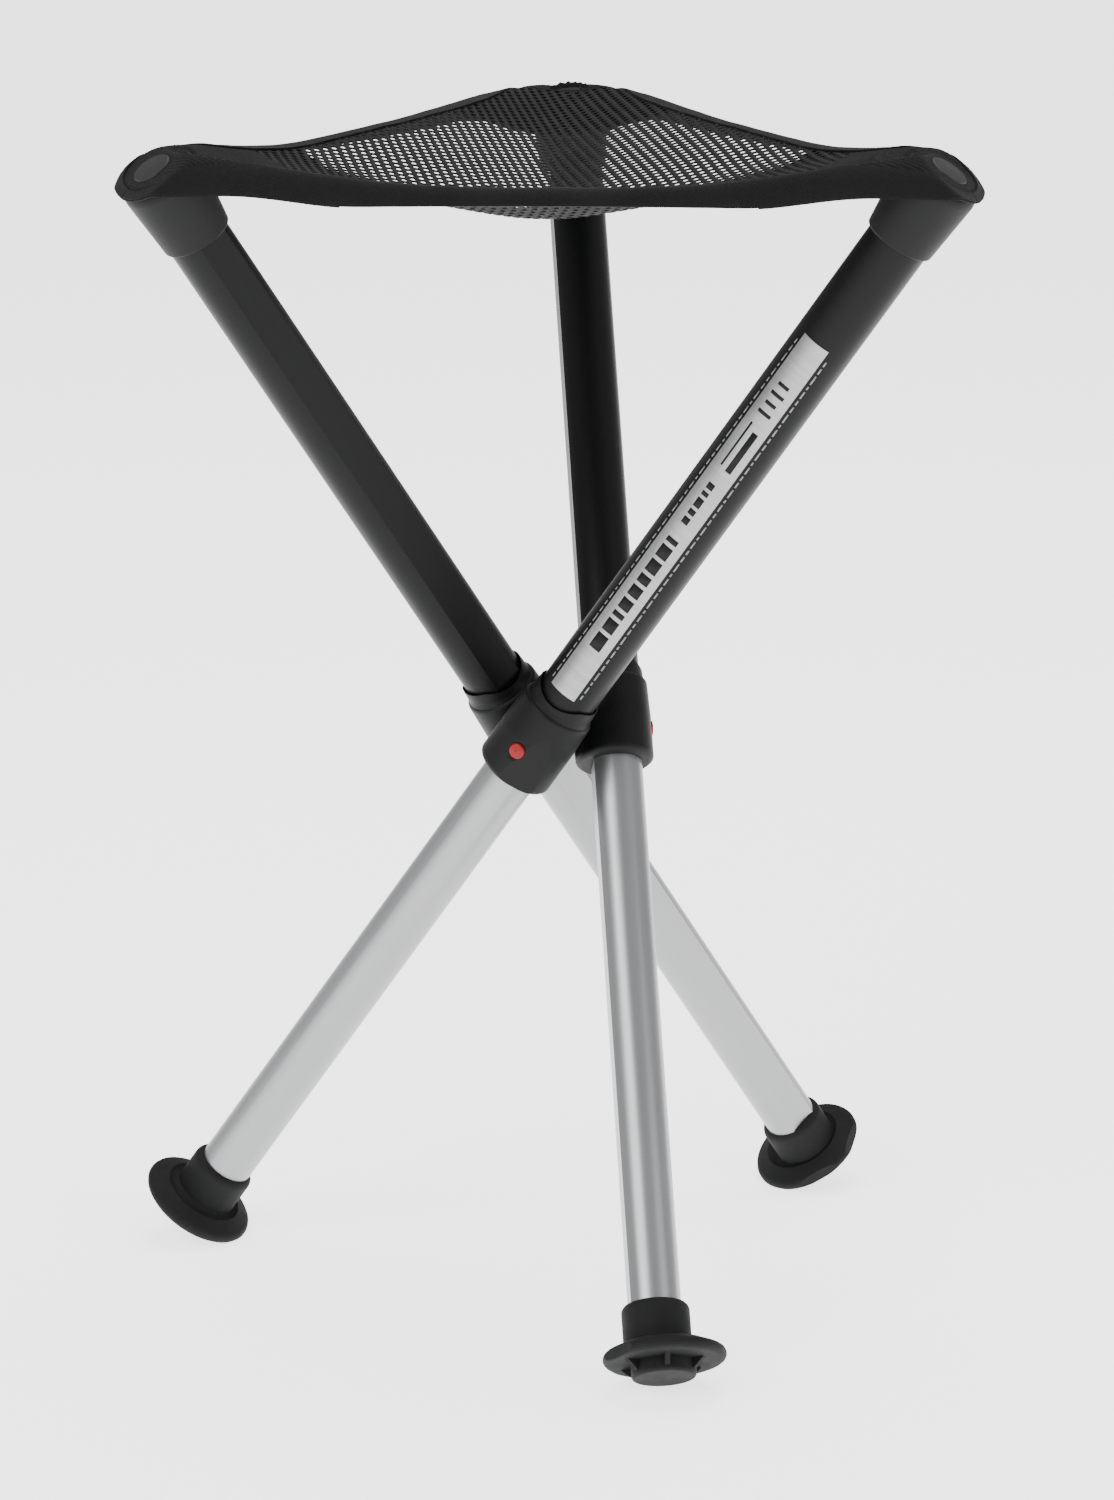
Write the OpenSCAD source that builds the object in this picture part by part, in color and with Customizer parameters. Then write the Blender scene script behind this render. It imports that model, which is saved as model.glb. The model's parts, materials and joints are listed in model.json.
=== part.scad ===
// Three leg folding field stool: telescopic legs crossing at a hub, with a triangular mesh seat.
// Millimetres. Origin on the ground under the hub, +Z up, +Y towards the rear seat corner.
// Leg 1 carries the front right seat corner, leg 2 the rear one and leg 3 the front left one.
// Leg frame: x points outward from the hub, z runs up the leg, origin where the pivot axis crosses the leg.

/* [Stance] */
// Height of the hub centre above the ground
hub_height = 230; // [229:0.5:231]
// Distance from the hub's upright axis to each leg's axis
leg_offset = 23.2; // [23.2:0.1:24]
// Tilt of each leg away from upright when the stool is open, which is also its folding travel
open_angle = 35.9; // [35:0.1:37]

/* [Upper tubes] */
// Outer radius of the upper tube
upper_r = 12.5; // [12.5:0.1:12.7]
// Distance from the upper tube's axis to its flat
upper_flat = 10.7; // [10.6:0.1:10.8]
// Wall of the upper tube
upper_wall = 1; // [0.8:0.1:1]
// Lower end of the upper tube, from the pivot
upper_low = 8; // [7:0.5:10]
// Upper end of the upper tube, inside its cap
upper_top = 289; // [286:0.5:290]

/* [Lower tubes] */
// Outer radius of the lower tube
lower_r = 11.2; // [11:0.1:11.3]
// Distance from the lower tube's axis to its flat
lower_flat = 9.3; // [9.2:0.1:9.4]
// Wall of the lower tube
lower_wall = 1.2; // [1:0.1:1.3]
// Upper end of the lower tube with the leg extended
lower_top = 22; // [20:0.5:24]
// Lower end of the lower tube, inside its foot
lower_end = -262; // [-263:0.5:-260]

/* [Collars] */
// Outer radius of the collar at the crossing
collar_r = 16.1; // [15.6:0.1:16.3]
// Lower rim of the collar
collar_low = -15.3; // [-16:0.1:-14]
// Upper rim of the collar, at its dip
collar_rim = 24.2; // [23:0.1:25]
// Tips of the collar's two ears
collar_ear = 27.5; // [27:0.1:28]

/* [End caps] */
// Lower lip of the cap
cap_low = 263.3; // [260:0.1:266]
// Flat top of the cap
cap_top = 294.3; // [293:0.1:295]
// Radius of the cap at its lip
cap_lip_r = 14.1; // [13.8:0.1:14.4]
// Flare of the cap's side, in degrees
cap_flare = 5.5; // [4:0.1:6]
// Lean of the cap's shell towards the seat, in degrees
cap_lean = 2.5; // [1:0.1:3]

/* [Feet] */
// Upper rim of the foot's cup
foot_rim = -244.4; // [-246:0.1:-243]
// Radius of the cup
cup_r = 13.5; // [13.2:0.1:13.8]
// Radius of the wide flange
flange_r = 24.4; // [23:0.1:24.6]
// How far the flange's centre sits outward of the tube
flange_shift = 3.2; // [2.6:0.1:3.6]
// Underside of the flange
flange_low = -268.3; // [-269:0.1:-267]
// Radius of the boss under the flange
boss_r = 12.85; // [12:0.05:13]
// How far the boss sits outward of the tube
boss_shift = 2.45; // [2:0.05:3]
// Underside of the boss
boss_low = -274.3; // [-275:0.1:-273]

/* [Seat] */
// Height of the seat's rivets along the leg, from the pivot
rivet_s = 297.7; // [296:0.1:299]
// Radius of the round rivet heads
rivet_r = 7.9; // [7:0.1:8.5]
// Distance from the seat's centre to the middle of each edge
edge_mid = 91; // [88:0.5:96]
// Height of the seat at its corners, its edges and its centre
corner_z = 472; // [471:0.5:474]
edge_z = 462; // [459:0.5:465]
centre_z = 450; // [444:0.5:456]
// Thickness of the mesh panels
panel_t = 1.4; // [1:0.1:2]
// Height and thickness of the bound hem
hem_h = 8; // [7:0.5:10]
hem_t = 2.4; // [2:0.1:3]

/* [Hidden] */
$fn = 96;

// Bearing of each seat corner, and how far round each leg's pivot lies from it
function corner_az(i) = 330 + 120*(i - 1);
leg_turn = atan2(rivet_s*sin(open_angle), leg_offset);
function leg_az(i) = corner_az(i) - leg_turn;
// Distance from the seat's centre to each rivet
corner_r = norm([leg_offset, rivet_s*sin(open_angle)]);

// Hub and pivots, as distances from the hub's upright axis
hub_face = 5.5;
hub_corner_r = 9.5;
hub_half_h = 9.5;
washer_t = 1;
washer_r = 7;
boss_face = hub_face + washer_t + 0.05;
shoulder_r = 3;
thread_r = 2;
thread_tip = 2;
screw_head_r = 3.9;
screw_head_t = 2.2;
screw_top = leg_offset - lower_flat - 0.5;
screw_seat = screw_top - screw_head_t;

// Running gaps between moving pieces
slide_gap = 0.15;
pivot_gap = 0.05;

// Collar, button and snap pin
pivot_boss_r = 8;
lip_r = 14;
ear_dip_r = 20;
button_hole_r = 3.45;
button_bore_r = 4;
button_ledge = 14.6;
button_back = 13.5;
button_dome_r = 3.3;
button_flange_r = 3.85;
button_top = 16.85;
scoop_r = 14;
scoop_depth = 0.9;
pin_r = 3.8;
pin_hole_r = 3.9;
pin_base = 9;
spring_w = 8;
spring_t = 0.6;
spring_r = 8.4;
spring_mid = 0.5;
spring_top = 7;
spring_low = -12;

// Seat fabric near the corners
patch_t = 1.4;
patch_r = 17.5;
stem_r = 2.5;
corner_reach = 14;
corner_clear_r = 25.5;
hem_up = 0.4;
seam_gap = 0.3;

// Half of the wedge that each folded leg keeps to, measured from its own axis
wedge = leg_offset*sin(60) - 0.3;
big = 1000;

module on_leg(i)
    translate([0, 0, hub_height]) rotate([0, 0, leg_az(i)])
        rotate([-open_angle, 0, 0]) translate([leg_offset, 0, 0]) children();

// x points outward along the pivot axis from the hub's centre
module on_pivot(i)
    translate([0, 0, hub_height]) rotate([0, 0, leg_az(i)]) children();

// A cylinder along x, from x0 to x1
module rod_x(r, x0, x1)
    translate([x0, 0, 0]) rotate([0, 90, 0]) cylinder(r = r, h = x1 - x0);

module d_shape(r, flat)
    intersection() {
        circle(r);
        translate([-flat, -r]) square([flat + r, 2*r]);
    }

module d_bar(r, flat, z0, z1)
    translate([0, 0, z0]) linear_extrude(z1 - z0) d_shape(r, flat);

function arc(cx, cy, r, a0, a1, n = 6) =
    [for (k = [0:n]) let (a = a0 + (a1 - a0)*k/n) [cx + r*cos(a), cy + r*sin(a)]];

module hub()
    color("#202124") translate([0, 0, hub_height]) difference() {
        translate([0, 0, -hub_half_h]) linear_extrude(2*hub_half_h) intersection() {
            circle(hub_corner_r);
            intersection_for (i = [1:3])
                rotate(leg_az(i)) translate([-big/2, -big/2]) square([big/2 + hub_face, big]);
        }
        for (i = [1:3]) rotate([0, 0, leg_az(i)]) rod_x(thread_r, thread_tip, hub_corner_r);
    }

module pivot_screw(i)
    color("#8d9095") on_pivot(i) difference() {
        union() {
            rod_x(thread_r, thread_tip, hub_face + 0.5);
            rod_x(shoulder_r, hub_face, screw_seat + 0.5);
            rod_x(screw_head_r, screw_seat, screw_top);
        }
        translate([screw_top - 1.5, 0, 0]) rotate([0, 90, 0]) cylinder(r = 2.3, h = 3, $fn = 6);
    }

module thrust_washer(i)
    color("#d8d6cc") on_pivot(i) difference() {
        rod_x(washer_r, hub_face, hub_face + washer_t);
        rod_x(shoulder_r + pivot_gap, 0, big/10);
    }

// Collar: the plastic sleeve at the crossing that joins a leg to the hub
module collar_outline()
    rotate_extrude() polygon(concat(
        [[0, collar_low]],
        arc(collar_r - 2.6, collar_low + 2.6, 2.6, -90, 0),
        [[collar_r, 4], [collar_r - 0.6, 18.5]],
        arc(collar_r - 2.6, 18.5, 2, 0, 60),
        [[lip_r, 22.2], [lip_r - 0.3, collar_ear], [0, collar_ear]]));

module collar(i)
    color("#26272a") on_leg(i) difference() {
        union() {
            difference() {
                collar_outline();
                // the dip between the two ears, front and back
                translate([-big/2, 0, collar_rim + ear_dip_r]) rotate([0, 90, 0])
                    cylinder(r = ear_dip_r, h = big, $fn = 180);
                // shallow slanting face beside the button
                rotate([0, 0, atan2(0.47, 0.85)]) rotate([0, 4.6, 0])
                    translate([14.93, -big/2, -big/2]) cube([big, big, big]);
            }
            rod_x(pivot_boss_r, boss_face - leg_offset, -lower_flat);
        }
        d_bar(lower_r + slide_gap, lower_flat + 0.2, -big/10, upper_low + 0.1);
        d_bar(upper_r, upper_flat, upper_low, big/10);
        translate([0, 0, collar_rim - 2]) cylinder(r = upper_r + 0.6, h = big/10);
        rod_x(shoulder_r + pivot_gap, -big/10, 0);
        rod_x(screw_head_r + 0.2, screw_seat - leg_offset - 0.05, 0);
        rod_x(button_bore_r, 0, button_ledge);
        rod_x(button_hole_r, 0, big/10);
        translate([collar_r - scoop_depth + scoop_r, 0, 0]) sphere(scoop_r);
    }

module release_button(i)
    color("#c3202c") on_leg(i) {
        rotate([0, 90, 0]) rotate_extrude() polygon(concat(
            [[0, button_back], [button_flange_r, button_back], [button_flange_r, button_ledge - 0.1],
             [button_dome_r, button_ledge - 0.1]],
            arc(button_dome_r - 0.9, 15.7, 0.9, 0, 70),
            [[0, button_top]]));
    }

module upper_tube(i)
    color("#1b1c1f") on_leg(i) difference() {
        d_bar(upper_r, upper_flat, upper_low, upper_top);
        d_bar(upper_r - upper_wall, upper_flat - upper_wall, upper_low - 1, upper_top + 1);
    }

module end_cap(i)
    color("#2b2c2f") on_leg(i) difference() {
        intersection() {
            translate([0, 0, cap_low]) rotate([cap_lean, 0, 0]) rotate_extrude() cap_outline();
            translate([-big/2, -big/2, -big + cap_top]) cube([big, big, big]);
        }
        difference() {
            d_bar(upper_r, upper_flat, cap_low - 5, upper_top);
            translate([0, 0, cap_low + 12]) cylinder(r = 6, h = upper_top);
        }
        translate([0, 0, upper_top - 14]) cylinder(r = stem_r, h = 30);
    }

module cap_outline()
    let (h = cap_top - cap_low + 1, top_r = cap_lip_r + h*tan(cap_flare))
        polygon(concat([[0, 0]],
            arc(cap_lip_r - 1, 1, 1, -90, 0, 4),
            arc(top_r - 5.9, h - 5.4, 5.4, 0, 90, 8),
            [[0, h]]));

module lower_tube(i)
    color("#c3c6cb") on_leg(i) difference() {
        d_bar(lower_r, lower_flat, lower_end, lower_top);
        d_bar(lower_r - lower_wall, lower_flat - lower_wall, lower_end - 1, lower_top + 1);
        rod_x(pin_hole_r, 0, big/10);
    }

// Plastic bush on top of the lower tube, which guides it in the upper tube
module guide_bush(i)
    color("#d8d6cc") on_leg(i) difference() {
        union() {
            d_bar(upper_r - upper_wall - 0.1, upper_flat - upper_wall - 0.1, lower_top, lower_top + 2.5);
            d_bar(lower_r - lower_wall - 0.02, lower_flat - lower_wall - 0.02, lower_top - 9, lower_top + 1);
        }
        translate([0, 0, lower_top - 10]) cylinder(r = 6, h = 20);
    }

module snap_pin(i)
    color("#8d9095") on_leg(i) {
        rod_x(pin_r, pin_base, button_back - 0.6);
        rod_x(pin_r - 0.5, pin_base, button_back - 0.1);
    }

// Bent steel strip inside the lower tube, which pushes the snap pin outward
module snap_spring(i)
    color("#b0b3b8") on_leg(i) rotate([90, 0, 0]) linear_extrude(spring_w, center = true) {
        difference() {
            translate([spring_mid, spring_low]) circle(spring_r);
            translate([spring_mid, spring_low]) circle(spring_r - spring_t);
            translate([-spring_r - 5, spring_low]) square([3*spring_r, 2*spring_r]);
        }
        translate([spring_mid - spring_r, spring_low]) square([spring_t, spring_top - spring_low]);
        translate([spring_mid + spring_r - spring_t, spring_low]) square([spring_t, spring_top - spring_low]);
    }

module foot_cup()
    translate([0.8, 0, 0]) rotate_extrude() polygon(concat(
        [[0, flange_low]], [[cup_r, flange_low]],
        arc(cup_r - 3.4, foot_rim - 3.4, 3.4, 0, 80),
        [[0, foot_rim]]));

module foot_flange()
    translate([flange_shift, 0, 0]) rotate_extrude() polygon(concat(
        [[0, flange_low]],
        arc(flange_r - 2.5, flange_low + 2.5, 2.5, -90, 62),
        arc(14.5, flange_low + 12, 5.2, 298, 200, 6),
        [[0, flange_low + 9.5]]));

module foot_boss()
    translate([boss_shift, 0, 0]) rotate_extrude() polygon(concat(
        [[0, boss_low]],
        arc(boss_r - 1.4, boss_low + 1.4, 1.4, -90, 0, 4),
        [[boss_r, flange_low + 1], [0, flange_low + 1]]));

// Ribs between the boss and the flange's underside
module foot_ribs()
    translate([boss_shift, 0, 0]) for (k = [0:5]) rotate([0, 0, 30 + 60*k])
        rotate([90, 0, 0]) linear_extrude(2, center = true)
            polygon([[boss_r - 1, flange_low + 1], [flange_r - 5.5, flange_low + 1],
                     [boss_r + 0.5, boss_low + 2], [boss_r - 1, boss_low + 2]]);

module rubber_foot(i)
    color("#232427") intersection() {
        on_leg(i) difference() {
            intersection() {
                union() {
                    foot_cup();
                    foot_flange();
                    foot_boss();
                    foot_ribs();
                }
                rotate([0, 0, 150]) translate([-big, -big/2, -big/2]) cube([big + wedge, big, big]);
                rotate([0, 0, -150]) translate([-big, -big/2, -big/2]) cube([big + wedge, big, big]);
            }
            d_bar(lower_r, lower_flat, lower_end, 0);
        }
        translate([-big/2, -big/2, 0]) cube([big, big, big]);
    }

module corner_patch(i)
    color("#1a1a1c") on_leg(i) difference() {
        translate([0, 0, cap_top]) cylinder(r = patch_r, h = patch_t);
        cylinder(r = stem_r + 0.05, h = big);
    }

module seat_rivet(i)
    color("#3a3b3e") on_leg(i) let (under = cap_top + patch_t) rotate_extrude() polygon(concat(
        [[0, upper_top - 8], [stem_r, upper_top - 8], [stem_r, under]],
        [[rivet_r, under]],
        arc(rivet_r - 0.8, rivet_s - 0.6, 0.8, 0, 60, 4),
        [[0, rivet_s + 0.5]]));

// Seat panel height: a plane through its corner, the middle of its edge and the seat's centre
slope_x = (corner_z - centre_z)/corner_r;
slope_y = (edge_z - centre_z - slope_x*edge_mid*cos(60))/(edge_mid*sin(60));
function on_seat(p, dz) = [p.x, p.y, centre_z + slope_x*p.x + slope_y*abs(p.y) + dz];

// A plate over a four-sided outline, following the panel's plane
module seat_plate(i, side, outline, up, down)
    rotate([0, 0, corner_az(i)]) mirror([0, side == "a" ? 0 : 1, 0]) difference() {
        polyhedron(
            points = concat([for (p = outline) on_seat(p, -down)], [for (p = outline) on_seat(p, up)]),
            faces = [[0, 1, 2, 3], [7, 6, 5, 4], [4, 5, 1, 0], [5, 6, 2, 1], [6, 7, 3, 2], [7, 4, 0, 3]]);
        translate([corner_r, 0, 0]) cylinder(r = corner_clear_r, h = big);
    }

edge_point = [corner_r + corner_reach*cos(60), corner_reach*sin(60)];
mid_point = [edge_mid*cos(60), edge_mid*sin(60)];
edge_run = mid_point - edge_point;
edge_dir = edge_run/norm(edge_run);
edge_out = [-edge_dir.y, edge_dir.x]*-1;
mid_in = mid_point - edge_dir*seam_gap;

module seat_panel(i, side)
    color("#1d1e20") seat_plate(i, side,
        [[2*seam_gap, seam_gap], [corner_r, seam_gap], edge_point, mid_in], 0, panel_t);

module seat_hem(i, side)
    color("#161618") seat_plate(i, side,
        [mid_in + edge_out*0.1, edge_point + edge_out*0.1,
         edge_point + edge_out*hem_t, mid_in + edge_out*hem_t], hem_up, hem_h - hem_up);

// Blank plate along the outward side of leg 1
module label_plate()
    color("#d5d7da") on_leg(1) translate([0, 0, 31]) rotate([0, 0, -28.5])
        rotate_extrude(angle = 57) translate([upper_r, 0]) square([0.25, 183]);

hub();
pivot_screw(1);  // pivot_screw_1
pivot_screw(2);  // pivot_screw_2
pivot_screw(3);  // pivot_screw_3
thrust_washer(1);  // thrust_washer_1
thrust_washer(2);  // thrust_washer_2
thrust_washer(3);  // thrust_washer_3
collar(1);  // collar_1
collar(2);  // collar_2
collar(3);  // collar_3
release_button(1);  // release_button_1
release_button(2);  // release_button_2
release_button(3);  // release_button_3
upper_tube(1);  // upper_tube_1
upper_tube(2);  // upper_tube_2
upper_tube(3);  // upper_tube_3
end_cap(1);  // end_cap_1
end_cap(2);  // end_cap_2
end_cap(3);  // end_cap_3
lower_tube(1);  // lower_tube_1
lower_tube(2);  // lower_tube_2
lower_tube(3);  // lower_tube_3
guide_bush(1);  // guide_bush_1
guide_bush(2);  // guide_bush_2
guide_bush(3);  // guide_bush_3
snap_pin(1);  // snap_pin_1
snap_pin(2);  // snap_pin_2
snap_pin(3);  // snap_pin_3
snap_spring(1);  // snap_spring_1
snap_spring(2);  // snap_spring_2
snap_spring(3);  // snap_spring_3
rubber_foot(1);  // rubber_foot_1
rubber_foot(2);  // rubber_foot_2
rubber_foot(3);  // rubber_foot_3
corner_patch(1);  // corner_patch_1
corner_patch(2);  // corner_patch_2
corner_patch(3);  // corner_patch_3
seat_rivet(1);  // seat_rivet_1
seat_rivet(2);  // seat_rivet_2
seat_rivet(3);  // seat_rivet_3
seat_panel(1, "a");  // seat_panel_1a
seat_panel(1, "b");  // seat_panel_1b
seat_panel(2, "a");  // seat_panel_2a
seat_panel(2, "b");  // seat_panel_2b
seat_panel(3, "a");  // seat_panel_3a
seat_panel(3, "b");  // seat_panel_3b
seat_hem(1, "a");  // seat_hem_1a
seat_hem(1, "b");  // seat_hem_1b
seat_hem(2, "a");  // seat_hem_2a
seat_hem(2, "b");  // seat_hem_2b
seat_hem(3, "a");  // seat_hem_3a
seat_hem(3, "b");  // seat_hem_3b
label_plate();
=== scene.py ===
import json
import math

import bpy
import numpy as np
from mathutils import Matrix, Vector


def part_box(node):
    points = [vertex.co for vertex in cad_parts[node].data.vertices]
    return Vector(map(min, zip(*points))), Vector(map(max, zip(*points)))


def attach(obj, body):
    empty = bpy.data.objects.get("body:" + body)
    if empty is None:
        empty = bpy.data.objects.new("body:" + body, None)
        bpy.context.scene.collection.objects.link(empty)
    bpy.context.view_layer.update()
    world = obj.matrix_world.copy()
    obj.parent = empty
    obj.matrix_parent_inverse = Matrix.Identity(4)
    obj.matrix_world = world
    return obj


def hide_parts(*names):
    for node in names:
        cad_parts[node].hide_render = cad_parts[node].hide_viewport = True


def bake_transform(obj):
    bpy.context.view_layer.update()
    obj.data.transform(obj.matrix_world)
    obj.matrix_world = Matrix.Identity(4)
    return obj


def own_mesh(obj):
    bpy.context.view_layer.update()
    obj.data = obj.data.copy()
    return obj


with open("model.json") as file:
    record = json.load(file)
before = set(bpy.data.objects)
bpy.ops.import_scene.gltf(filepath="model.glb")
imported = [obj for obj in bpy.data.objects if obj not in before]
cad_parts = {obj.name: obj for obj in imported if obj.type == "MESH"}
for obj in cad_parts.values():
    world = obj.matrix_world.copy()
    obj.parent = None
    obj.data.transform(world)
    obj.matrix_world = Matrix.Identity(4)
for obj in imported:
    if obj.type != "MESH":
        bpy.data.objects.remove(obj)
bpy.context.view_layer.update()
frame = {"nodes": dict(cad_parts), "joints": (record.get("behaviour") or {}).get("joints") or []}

MM = 0.001
LEGS = (1, 2, 3)
SIDES = {"a": 1, "b": -1}          # a lies anticlockwise of its seat corner, b clockwise
JOINTS = {j["name"]: j for j in frame["joints"]}


# ---------------------------------------------------------------- camera, light and floor

CAMERA_AT = (0.0579, -2.0023, 0.7035)
CAMERA_PITCH = 13.52               # degrees below level
CAMERA_TURN = 1.648                # degrees anticlockwise of +Y
LENS_MM, SENSOR_MM = 120.53, 36.0      # the sensor's size lies along the longer side of the frame
LIGHTS_AIM = (0, 0, 0.25)
LIGHTS = {                         # each light's place, width and power in watts
    "key_light": ((-1.3, -1.6, 1.9), 1.6, 42),
    "fill_light": ((1.8, -1.2, 1.0), 1.4, 12),
    "top_light": ((0.2, 0.6, 2.4), 1.8, 36),
}
WORLD_STRENGTH = 0.6
FLOOR_HALF, FLOOR_CELLS = 40.0, 8
FLOOR_GLOW = 2.2


def make_camera():
    data = bpy.data.cameras.new("camera")
    data.lens, data.sensor_width = LENS_MM, SENSOR_MM
    camera = bpy.data.objects.new("camera", data)
    camera.location = CAMERA_AT
    camera.rotation_euler = (math.radians(90 - CAMERA_PITCH), 0, math.radians(CAMERA_TURN))
    bpy.context.scene.collection.objects.link(camera)
    bpy.context.scene.camera = camera


def area_light(name, at, size, power):
    data = bpy.data.lights.new(name, "AREA")
    data.shape, data.size, data.energy = "DISK", size, power
    lamp = bpy.data.objects.new(name, data)
    lamp.location = at
    lamp.rotation_euler = (Vector(LIGHTS_AIM) - Vector(at)).to_track_quat("-Z", "Y").to_euler()
    bpy.context.scene.collection.objects.link(lamp)


def make_studio():
    world = bpy.context.scene.world or bpy.data.worlds.new("studio")
    bpy.context.scene.world = world
    world.use_nodes = True
    background = world.node_tree.nodes["Background"]
    background.inputs["Color"].default_value = (1, 1, 1, 1)
    background.inputs["Strength"].default_value = WORLD_STRENGTH
    for name, (at, size, power) in LIGHTS.items():
        area_light(name, at, size, power)


def make_floor():
    steps = [-FLOOR_HALF + 2*FLOOR_HALF*k/FLOOR_CELLS for k in range(FLOOR_CELLS + 1)]
    grid = [(x, y, 0.0) for y in steps for x in steps]
    mesh = bpy.data.meshes.new("floor")
    mesh.from_pydata(grid, [], grid_faces(FLOOR_CELLS + 1, FLOOR_CELLS + 1))
    floor = bpy.data.objects.new("floor", mesh)
    bpy.context.scene.collection.objects.link(floor)
    mesh.materials.append(plain_finish("floor_paper", (0.94, 0.94, 0.945), 0.9, FLOOR_GLOW))


# ---------------------------------------------------------------- materials
# Noise scales are in features to the metre, and bump distances are in metres.

def shader(name, colour, roughness, metallic=0.0, **sockets):
    """A new material, its Principled shader and its node tree."""
    material = bpy.data.materials.new(name)
    material.use_nodes = True
    tree = material.node_tree
    bsdf = tree.nodes["Principled BSDF"]
    bsdf.inputs["Base Color"].default_value = (*colour, 1)
    bsdf.inputs["Roughness"].default_value = roughness
    bsdf.inputs["Metallic"].default_value = metallic
    for label, value in sockets.items():
        bsdf.inputs[label.replace("_", " ")].default_value = value
    return material, bsdf, tree


def place(tree, axes=None):
    """Coordinates in the row frame, or along three axes of a leg."""
    coords = tree.nodes.new("ShaderNodeTexCoord").outputs["Object"]
    if axes is None:
        return coords
    joined = tree.nodes.new("ShaderNodeCombineXYZ")
    for k, axis in enumerate(axes):
        dot = tree.nodes.new("ShaderNodeVectorMath")
        dot.operation = "DOT_PRODUCT"
        tree.links.new(coords, dot.inputs[0])
        dot.inputs[1].default_value = axis
        tree.links.new(dot.outputs["Value"], joined.inputs[k])
    return joined.outputs["Vector"]


def noise(tree, coords, scale, detail=3.0, stretch=None):
    if stretch is not None:
        mapping = tree.nodes.new("ShaderNodeMapping")
        mapping.inputs["Scale"].default_value = stretch
        tree.links.new(coords, mapping.inputs["Vector"])
        coords = mapping.outputs["Vector"]
    node = tree.nodes.new("ShaderNodeTexNoise")
    node.inputs["Scale"].default_value = scale
    node.inputs["Detail"].default_value = detail
    tree.links.new(coords, node.inputs["Vector"])
    return node.outputs["Fac"]


def spread(tree, value, low, high, centre=0.5, width=0.25):
    """Maps a noise's middle range onto low..high."""
    node = tree.nodes.new("ShaderNodeMapRange")
    node.inputs["From Min"].default_value = centre - width
    node.inputs["From Max"].default_value = centre + width
    node.inputs["To Min"].default_value = low
    node.inputs["To Max"].default_value = high
    tree.links.new(value, node.inputs["Value"])
    return node.outputs["Result"]


def tint(tree, bsdf, value, dark, light):
    """Colours a shader from dark to light by a value from 0 to 1."""
    mix = tree.nodes.new("ShaderNodeMix")
    mix.data_type = "RGBA"
    mix.inputs["A"].default_value = (*dark, 1)
    mix.inputs["B"].default_value = (*light, 1)
    tree.links.new(value, mix.inputs["Factor"])
    tree.links.new(mix.outputs["Result"], bsdf.inputs["Base Color"])


def bump(tree, bsdf, height, distance, strength):
    node = tree.nodes.new("ShaderNodeBump")
    node.inputs["Distance"].default_value = distance
    node.inputs["Strength"].default_value = strength
    tree.links.new(height, node.inputs["Height"])
    tree.links.new(node.outputs["Normal"], bsdf.inputs["Normal"])


def plain_finish(name, colour, roughness, glow):
    """A pale matt surface with a faint mottle, lit a little from within like a light table."""
    material, bsdf, tree = shader(name, colour, roughness, Specular_IOR_Level=0.1)
    bsdf.inputs["Emission Color"].default_value = (1, 1, 1, 1)
    bsdf.inputs["Emission Strength"].default_value = glow
    value = spread(tree, noise(tree, place(tree), 3.0), 0, 1)
    tint(tree, bsdf, value, tuple(c*0.995 for c in colour), colour)
    return material


def moulded_plastic(name, colour, roughness, grain=0.00006, **sockets):
    """Moulded plastic: fine spark grain, faint flow marks and slightly uneven gloss."""
    material, bsdf, tree = shader(name, colour, roughness, **sockets)
    coords = place(tree)
    fine = noise(tree, coords, 1900, 2)
    broad = noise(tree, coords, 45, 4)
    lighter = tuple(min(1, c*1.25 + 0.002) for c in colour)
    tint(tree, bsdf, spread(tree, broad, 0, 1), tuple(c*0.85 for c in colour), lighter)
    tree.links.new(spread(tree, broad, roughness - 0.05, roughness + 0.07), bsdf.inputs["Roughness"])
    bump(tree, bsdf, fine, grain, 0.6)
    return material


def drawn_aluminium(name, colour, roughness, axes, metallic, wear=0.05, **sockets):
    """Anodised tube: die lines along its length and a fine satin tooth."""
    material, bsdf, tree = shader(name, colour, roughness, metallic, **sockets)
    coords = place(tree, axes)
    lines = noise(tree, coords, 900, 3, stretch=(1, 1, 0.012))
    tooth = noise(tree, coords, 2600, 2)
    broad = noise(tree, coords, 30, 4)
    darker = tuple(c*(1 - wear) for c in colour)
    tint(tree, bsdf, spread(tree, broad, 0, 1), darker, colour)
    both = tree.nodes.new("ShaderNodeMath")
    both.operation = "ADD"
    tree.links.new(lines, both.inputs[0])
    tree.links.new(tooth, both.inputs[1])
    tree.links.new(spread(tree, lines, roughness - 0.04, roughness + 0.05), bsdf.inputs["Roughness"])
    bump(tree, bsdf, both.outputs[0], 0.00002, 0.5)
    return material


def brushed_plate(name, colour, roughness, axes):
    """Thin metal plate, brushed across the tube."""
    material, bsdf, tree = shader(name, colour, roughness, 0.9)
    coords = place(tree, axes)
    lines = noise(tree, coords, 700, 4, stretch=(0.06, 0.06, 1))
    cloud = noise(tree, coords, 60, 2)
    tint(tree, bsdf, spread(tree, lines, 0, 1), tuple(c*0.8 for c in colour), colour)
    tree.links.new(spread(tree, cloud, roughness - 0.05, roughness + 0.1), bsdf.inputs["Roughness"])
    bump(tree, bsdf, lines, 0.00003, 0.5)
    return material


def rubber(name, colour):
    """Matt rubber with a fine tooth and paler scuffs."""
    material, bsdf, tree = shader(name, colour, 0.72, Specular_IOR_Level=0.2)
    coords = place(tree)
    scuff = noise(tree, coords, 160, 6)
    fine = noise(tree, coords, 1500, 3)
    tint(tree, bsdf, spread(tree, scuff, 0, 1), colour, tuple(c*1.7 for c in colour))
    tree.links.new(spread(tree, scuff, 0.64, 0.82), bsdf.inputs["Roughness"])
    bump(tree, bsdf, fine, 0.00008, 0.6)
    return material


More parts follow.
